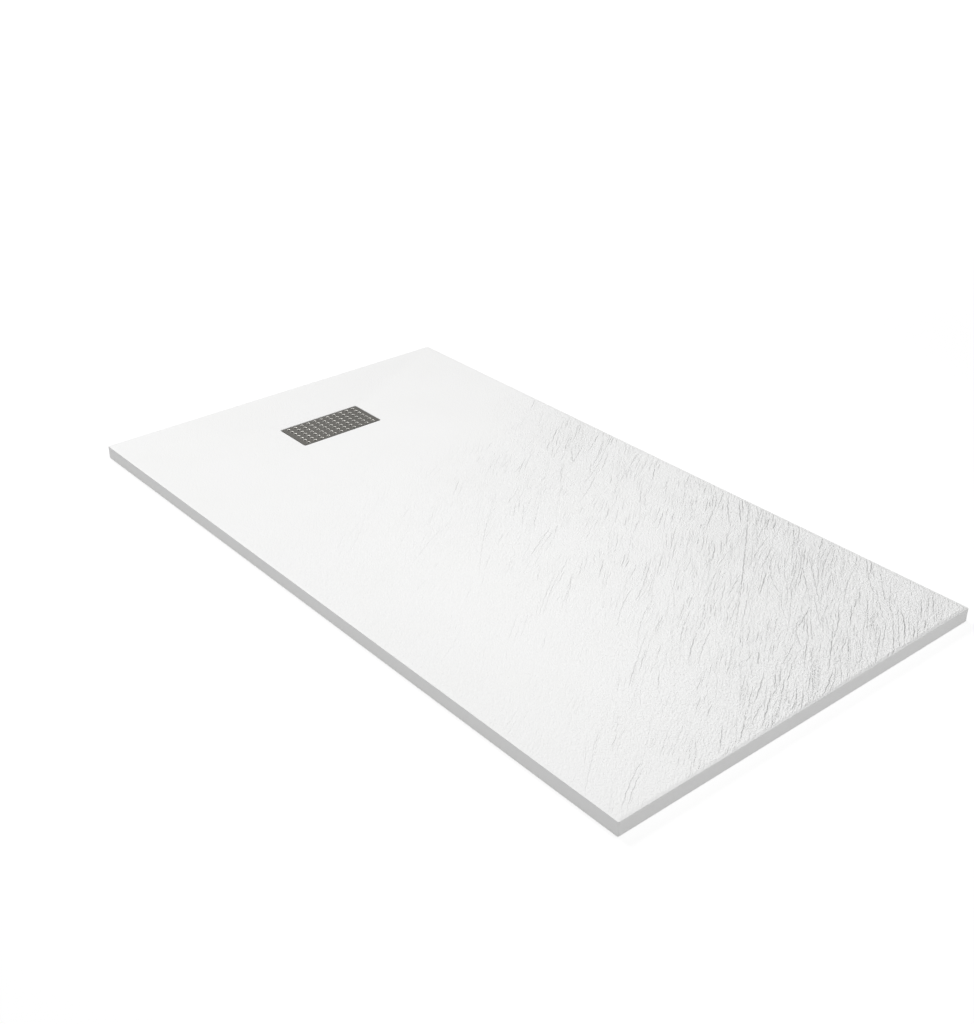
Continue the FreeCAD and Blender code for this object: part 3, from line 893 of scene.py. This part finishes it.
    def lay_top(self, bm: BMesh, lines: TopLines) -> list[BMVert]:
        """Adds the fine new top, still level and loose, with a gap for the opening's margin.

        Args:
            bm: The moulding's mesh.
            lines: The lines of the new top.

        Returns:
            The new top's points.
        """
        columns, rows = len(lines.xs) - 1, len(lines.ys) - 1
        before = set(bm.faces)
        grid = bmesh.ops.create_grid(bm, x_segments=columns, y_segments=rows, size=0.5)
        verts = grid["verts"]
        for vert in verts:
            column = round((vert.co.x + 0.5) * columns)
            row = round((vert.co.y + 0.5) * rows)
            vert.co = Vector((lines.xs[column], lines.ys[row], self.height))
        inside = [f for f in bm.faces if f not in before and lines.framed(f)]
        bmesh.ops.delete(bm, geom=inside, context="FACES")
        return [v for v in verts if v.is_valid]

    def shape_top(self, verts: list[BMVert]) -> None:
        """Gives the new top its falls, its slow unevenness and its creases.

        Args:
            verts: The new top's points.
        """
        x = np.array([v.co.x for v in verts])
        y = np.array([v.co.y for v in verts])
        z = self.fall_height(x, y)
        lowest = self.shares(x, y).min(axis=0)
        free = self.between(lowest, self.relief_start, self.relief_end)
        along, slant, across = self.swell_rate
        swell = np.array([
            noise.noise(Vector((a * along + b * slant, b * across, 0.0))) for a, b in zip(x, y)
        ])
        z -= free * self.slate_at(x, y) * self.swell_depth * (0.5 + swell)
        gap, step = self.creases.nearest(x + self.length / 2, y)
        depth = self.creases.measure(x + self.length / 2, y, step)[1]
        z -= free * self.groove_depth * depth * np.exp(-(gap / self.groove_width) ** 2)
        for vert, height in zip(verts, z):
            vert.co.z = height

    def mark(self, mesh: Mesh) -> None:
        """Stores what the finish reads: distance to a crease, its depth, and the grain.

        Each face has the distance to one crease at its corners, so that the line through it is
        sharp and no false one shows between two creases.

        Args:
            mesh: The finished mesh.
        """
        x, y, z = read_values(mesh.vertices, "co", 3).T
        middle = read_values(mesh.polygons, "center", 3)
        corner = read_values(mesh.loops, "vertex_index", kind=np.int32)
        sides = read_values(mesh.polygons, "loop_total", kind=np.int32)
        on_top = z > self.fall_height(x, y) - self.top_slack
        lowest = self.shares(x, y).min(axis=0)
        shown = on_top * self.between(lowest, self.grain_start, self.grain_end)
        grain = shown * (self.grain_rest + (1.0 - self.grain_rest) * self.slate_at(x, y))
        step = self.creases.nearest(middle[:, 0] + self.length / 2, middle[:, 1])[1]
        away, depth = self.creases.measure(
            x[corner] + self.length / 2, y[corner], np.repeat(step, sides))
        for name, domain, values in (
            ("crease_away", "CORNER", away),
            ("crease_depth", "CORNER", depth * shown[corner]),
            ("grain", "POINT", grain),
        ):
            layer = mesh.attributes.new(name, "FLOAT", domain)
            layer.data.foreach_set("value", values.astype(np.float32))

    def build(self) -> Object:
        """Makes the moulding from the construction's own mesh with a new top.

        Returns:
            The finished piece.
        """
        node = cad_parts["tray_body"]
        bm = bmesh.new()
        bm.from_mesh(node.data)
        bmesh.ops.remove_doubles(bm, verts=bm.verts, dist=WELD)
        bm.normal_update()
        self.creases.draw(self.length, self.width)
        lines = self.lines()
        self.open_top(bm, lines)
        old_faces = set(bm.faces)
        self.shape_top(self.lay_top(bm, lines))
        for face in bm.faces:
            face.smooth = face not in old_faces
        edge_verts = [v for v in bm.verts if v.is_boundary]
        bmesh.ops.remove_doubles(bm, verts=edge_verts, dist=self.weld)
        log.info("tray_moulding: %d open edges", sum(e.is_boundary for e in bm.edges))
        mesh = finished_mesh("tray_moulding", bm)
        self.mark(mesh)
        mesh.materials.append(GelCoat().build())
        return new_object("tray_moulding", mesh, "tray", ("tray_body",))


# ------------------------------------------------------------------ the grate
@dataclass
class PunchedGrate:
    """The lift-out grate: stainless sheet with punched holes and a turned-down rim."""

    middle: tuple[float, float] = (-586.0 * MM, 0.0)
    size: tuple[float, float] = (98.0 * MM, 207.0 * MM)
    top: float = 20.7 * MM
    height: float = 3.5 * MM
    sheet: float = 2.0 * MM
    hole_radius: float = 3.0 * MM
    holes: tuple[int, int] = (7, 11)
    pitch: tuple[float, float] = (13.5 * MM, 17.8 * MM)
    hole_sides: int = 20
    corner: float = 2.0 * MM
    countersink: float = 1.3 * MM
    softening: float = 0.3 * MM
    sharp: float = math.radians(60.0)       # edges that turn more than this are softened

    def tile(self, bm: BMesh) -> list[BMFace]:
        """Makes one hole with the patch of sheet round it, at the frame's origin.

        Args:
            bm: The mesh that takes it.

        Returns:
            The tile's faces.
        """
        weight = bm.edges.layers.float.new("bevel_weight_edge")
        ring = bmesh.ops.create_circle(
            bm, cap_ends=False, radius=self.hole_radius, segments=self.hole_sides,
            matrix=Matrix.Rotation(math.pi / self.hole_sides, 4, "Z"),
        )["verts"]
        loop = list({e for v in ring for e in v.link_edges})
        spread = bmesh.ops.extrude_edge_only(bm, edges=loop)["geom"]
        outer = [g for g in spread if isinstance(g, BMVert)]
        half_x, half_y = self.pitch[0] / 2, self.pitch[1] / 2
        for vert in outer:
            reach = min(half_x / max(abs(vert.co.x), 1e-9), half_y / max(abs(vert.co.y), 1e-9))
            vert.co *= reach
        for x_sign in (-1, 1):
            for y_sign in (-1, 1):
                corner = Vector((x_sign * half_x, y_sign * half_y, 0.0))
                nearest = min(outer, key=lambda v: (v.co - corner).length)
                nearest.co = corner
        ring_verts = set(ring)
        for edge in bm.edges:
            edge[weight] = float(all(v in ring_verts for v in edge.verts))
        return [g for g in spread if isinstance(g, BMFace)]

    def repeat(self, bm: BMesh, tile: list[BMFace]) -> None:
        """Repeats the tile at every hole, and takes the first one away.

        Args:
            bm: The grate's mesh.
            tile: The tile's faces.
        """
        geometry = list({*tile, *(e for f in tile for e in f.edges),
                         *(v for f in tile for v in f.verts)})
        for column in range(self.holes[0]):
            for row in range(self.holes[1]):
                shift = Vector((
                    (column - (self.holes[0] - 1) / 2) * self.pitch[0],
                    (row - (self.holes[1] - 1) / 2) * self.pitch[1], 0.0,
                ))
                copy = bmesh.ops.duplicate(bm, geom=geometry)["geom"]
                copied = [g for g in copy if isinstance(g, BMVert)]
                bmesh.ops.translate(bm, verts=copied, vec=shift)
        bmesh.ops.delete(bm, geom=tile, context="FACES")
        bmesh.ops.remove_doubles(bm, verts=bm.verts, dist=WELD)

    def thicken(self, piece: Object) -> None:
        """Gives the sheet its thickness, its countersinks and its softened edges.

        Args:
            piece: The grate.
        """
        wall = piece.modifiers.new("sheet", "SOLIDIFY")
        wall.thickness = self.sheet
        wall.offset = -1.0
        wall.use_even_offset = True
        wall.material_offset = 1
        wall.material_offset_rim = 1
        sunk = piece.modifiers.new("countersinks", "BEVEL")
        sunk.width = self.countersink
        sunk.segments = 3
        sunk.limit_method = "WEIGHT"
        sunk.material = 1
        soft = piece.modifiers.new("softened_edges", "BEVEL")
        soft.width = self.softening
        soft.segments = 2
        soft.limit_method = "ANGLE"
        soft.angle_limit = self.sharp

    def build(self) -> Object:
        """Makes the grate from one tile, repeated, with its rim turned down.

        Returns:
            The finished piece.
        """
        bm = bmesh.new()
        self.repeat(bm, self.tile(bm))
        block_x = self.holes[0] * self.pitch[0] / 2
        block_y = self.holes[1] * self.pitch[1] / 2
        border = [
            e for e in bm.edges if e.is_boundary and all(
                abs(abs(v.co.x) - block_x) < WELD or abs(abs(v.co.y) - block_y) < WELD
                for v in e.verts
            )
        ]
        self.add_border(bm, border, block_x, block_y)
        bmesh.ops.translate(bm, verts=bm.verts, vec=Vector((*self.middle, self.top)))
        mesh = finished_mesh("drain_grate_sheet", bm)
        mesh.materials.append(BrushedSteel().build())
        mesh.materials.append(
            PressedSteel("burnished_stainless", "#B2B1AC", (0.34, 0.44)).build())
        piece = new_object("drain_grate_sheet", mesh, "grate", ("drain_grate",))
        self.thicken(piece)
        return piece

    def add_border(self, bm: BMesh, border: list[BMEdge], block_x: float, block_y: float) -> None:
        """Widens the sheet to the grate's outline, rounds its corners and turns it down.

        Args:
            bm: The grate's mesh.
            border: The outside edges of the block of holes.
            block_x: Half the block's size along the tray.
            block_y: Half its size across the tray.
        """
        grown = bmesh.ops.extrude_edge_only(bm, edges=border)["geom"]
        outline = [g for g in grown if isinstance(g, BMVert)]
        half_x, half_y = self.size[0] / 2, self.size[1] / 2
        for vert in outline:
            vert.co.x *= half_x / block_x
            vert.co.y *= half_y / block_y
            over_x = abs(vert.co.x) - (half_x - self.corner)
            over_y = abs(vert.co.y) - (half_y - self.corner)
            if over_x > 0 and over_y > 0:
                scale = self.corner / math.hypot(over_x, over_y)
                vert.co.x = math.copysign(half_x - self.corner + over_x * scale, vert.co.x)
                vert.co.y = math.copysign(half_y - self.corner + over_y * scale, vert.co.y)
        rim_edges = [g for g in grown if isinstance(g, BMEdge)
                     and all(v in set(outline) for v in g.verts)]
        turned = bmesh.ops.extrude_edge_only(bm, edges=rim_edges)["geom"]
        low = [g for g in turned if isinstance(g, BMVert)]
        bmesh.ops.translate(bm, verts=low, vec=Vector((0.0, 0.0, -self.height)))
        bmesh.ops.recalc_face_normals(bm, faces=bm.faces)
        if max(bm.faces, key=lambda f: f.calc_area()).normal.z < 0:
            bmesh.ops.reverse_faces(bm, faces=bm.faces)


# ------------------------------------------------------------------ the trap and the seals
class TrapFinish(Enum):
    """The finishes of the pieces under the grate and under the tray."""

    WHITE = MouldedPlastic("moulded_polypropylene_white", "#E6E6E2")
    PALE = MouldedPlastic("moulded_polypropylene_pale", "#D9D9D4", (0.37, 0.49))
    DARK = MouldedPlastic("moulded_polypropylene_dark", "#5A5C5E", (0.40, 0.52))
    RUBBER = SealRubber()
    BRIGHT = PressedSteel()


@dataclass
class WasteTrap:
    """The waste, the trap, its removable insert and the swivelling outlet."""

    finishes: dict[TrapFinish, tuple[str, ...]] = field(default_factory=lambda: {
        TrapFinish.WHITE: ("waste_flange", "dip_tube", "trap_cup", "hair_strainer"),
        TrapFinish.PALE: ("trap_collar", "trap_bowl", "outlet_ball"),
        TrapFinish.DARK: ("ball_nut", "pipe_nut", "pipe_washer"),
        TrapFinish.RUBBER: ("grate_pads", "upper_gasket", "lower_gasket", "dip_tube_seal",
                            "ball_seal", "pipe_seal"),
        TrapFinish.BRIGHT: ("flange_trim",),
    })

    def dress(self) -> None:
        """Gives each of the construction's own pieces its finish."""
        for finish, names in self.finishes.items():
            material = finish.value.build()
            for name in names:
                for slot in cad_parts[name].material_slots:
                    slot.material = material
                log.info("%s: %s", name, material.name)


# ------------------------------------------------------------------ the studio
@dataclass(frozen=True)
class Lamp:
    """One soft square lamp that points at the middle of the tray."""

    name: str
    place: tuple[float, float, float]
    size: float
    watts: float

    def build(self) -> None:
        """Puts the lamp into the scene."""
        data = bpy.data.lights.new(self.name, "AREA")
        data.shape = "SQUARE"
        data.size = self.size
        data.energy = self.watts
        lamp = put_in(self.name, data)
        lamp.location = self.place
        lamp.rotation_euler = (-Vector(self.place)).to_track_quat("-Z", "Y").to_euler()
        lamp.visible_camera = False


@dataclass
class Studio:
    """Floor, world, lamps and camera."""

    lamps: tuple[Lamp, ...] = (
        Lamp("key", (-4.4, 0.2, 4.6), size=2.0, watts=239.0),
        Lamp("fill", (0.8, 0.0, 2.0), size=0.8, watts=18.2),
    )
    camera_place: tuple[float, float, float] = (1.8836, -1.6308, 1.4381)
    camera_view: tuple[float, float, float] = (-0.6644, 0.5659, -0.4882)
    camera_roll: float = math.radians(0.389)
    focal_pixels: float = 1416.6
    image: tuple[int, int] = (974, 1024)
    sensor: float = 36.0                    # mm, the width of the camera's film
    sight: float = 200.0                    # metres, how far the camera sees
    floor_size: float = 40.0                # metres, to each side
    floor_gap: float = 0.3 * MM             # below the tray, so that no faces coincide
    floor_colour: str = "#8A8A8A"           # of the part that takes the shadow
    # where the floor is open for the trap to hang in, along X and along Y
    pocket: tuple[tuple[float, float], tuple[float, float]] = ((-0.76, -0.51), (-0.09, 0.09))
    sky: float = 0.24                       # how brightly the world lights the object
    floor_light: float = 0.66               # how brightly the floor lights it from below
    floor_seen: tuple[float, float] = (0.80, 1.0)       # to the camera, near and far away
    floor_turn: tuple[float, float] = (1.4, 4.0)        # metres, from near to far away

    @staticmethod
    def showing(tree: NodeTree) -> NodeSocket:
        """Tells the rays that show the surroundings from those that light the object.

        Args:
            tree: The floor's or the world's node tree.

        Returns:
            1 for what the camera sees, also by way of gloss or a clear piece, and else 0.
        """
        rays = add_node(tree, "LightPath").outputs
        seen = rays["Is Camera Ray"]
        for kind in ("Is Glossy Ray", "Is Transmission Ray"):
            seen = add_node(tree, "Math", {0: seen, 1: rays[kind]}, operation="MAXIMUM").outputs[0]
        return seen

    def floor(self) -> None:
        """Lays the floor, with a pocket for the trap."""
        bm = bmesh.new()
        bmesh.ops.create_grid(bm, x_segments=3, y_segments=3, size=self.floor_size)
        bmesh.ops.translate(bm, verts=bm.verts, vec=Vector((0.0, 0.0, -self.floor_gap)))
        pocket = min(bm.faces, key=lambda f: f.calc_center_median().length)
        for vert in bm.verts:
            for axis, sides in enumerate(self.pocket):
                # the grid's inner lines become the pocket's sides
                if abs(vert.co[axis]) < self.floor_size / 2:
                    vert.co[axis] = sides[vert.co[axis] > 0.0]
        bmesh.ops.delete(bm, geom=[pocket], context="FACES")
        mesh = finished_mesh("floor", bm)
        mesh.materials.append(self.floor_finish())
        floor = put_in("floor", mesh)

    def floor_finish(self) -> Material:
        """Makes the floor's finish: white to the camera, apart from the object's shadow.

        It lights the object from below, and from below it is clear.

        Returns:
            The material.
        """
        material = bpy.data.materials.new("pale_floor")
        tree = empty_tree(material)
        place = add_node(tree, "TexCoord").outputs["Object"]
        away = add_node(tree, "VectorMath", {0: place}, operation="LENGTH")
        white = add_node(tree, "MapRange", {
            "Value": away.outputs["Value"],
            "From Min": self.floor_turn[0], "From Max": self.floor_turn[1],
            "To Min": self.floor_seen[0], "To Max": self.floor_seen[1],
        }, interpolation_type="SMOOTHSTEP")
        glow = add_node(tree, "MapRange", {
            "Value": self.showing(tree), "To Min": self.floor_light,
            "To Max": white.outputs["Result"],
        })
        shaded = add_node(tree, "BsdfDiffuse", {"Color": linear(self.floor_colour)})
        lit = add_node(tree, "Emission", {
            "Color": linear("#FFFFFF"), "Strength": glow.outputs["Result"],
        })
        mixed = add_node(tree, "AddShader", {0: shaded.outputs[0], 1: lit.outputs[0]})
        back = add_node(tree, "NewGeometry").outputs["Backfacing"]
        clear = add_node(tree, "BsdfTransparent")
        both = add_node(tree, "MixShader", {0: back, 1: mixed.outputs[0], 2: clear.outputs[0]})
        add_node(tree, "OutputMaterial", {"Surface": both.outputs[0]})
        return material

    def world(self) -> None:
        """Lights the scene evenly from all round, and shows white to the camera."""
        world = bpy.data.worlds.new("studio")
        bpy.context.scene.world = world
        tree = empty_tree(world)
        light = add_node(tree, "MapRange", {
            "Value": self.showing(tree), "To Min": self.sky, "To Max": 1.0,
        })
        sky = add_node(tree, "Background", {
            "Color": linear("#FFFFFF"), "Strength": light.outputs["Result"],
        })
        add_node(tree, "OutputWorld", {"Surface": sky.outputs[0]})

    def camera(self) -> None:
        """Sets the camera at the photograph's place."""
        data = bpy.data.cameras.new("camera")
        data.sensor_width = self.sensor
        data.lens = self.focal_pixels * self.sensor / max(self.image)
        data.clip_end = self.sight
        camera = put_in("camera", data)
        facing = Vector(self.camera_view).to_track_quat("-Z", "Y").to_matrix().to_4x4()
        roll = Matrix.Rotation(self.camera_roll, 4, "Z")
        camera.matrix_world = Matrix.Translation(self.camera_place) @ facing @ roll
        bpy.context.scene.camera = camera

    def build(self) -> None:
        """Sets the whole studio up."""
        bpy.context.scene.view_settings.view_transform = "Standard"
        self.floor()
        self.world()
        for lamp in self.lamps:
            lamp.build()
        self.camera()


def main() -> None:
    """Builds the pieces in order, then the studio."""
    logging.basicConfig(level=logging.INFO, format="%(name)s: %(message)s")
    TrayMoulding().build()
    PunchedGrate().build()
    WasteTrap().dress()
    Studio().build()


if __name__ == "__main__":
    main()
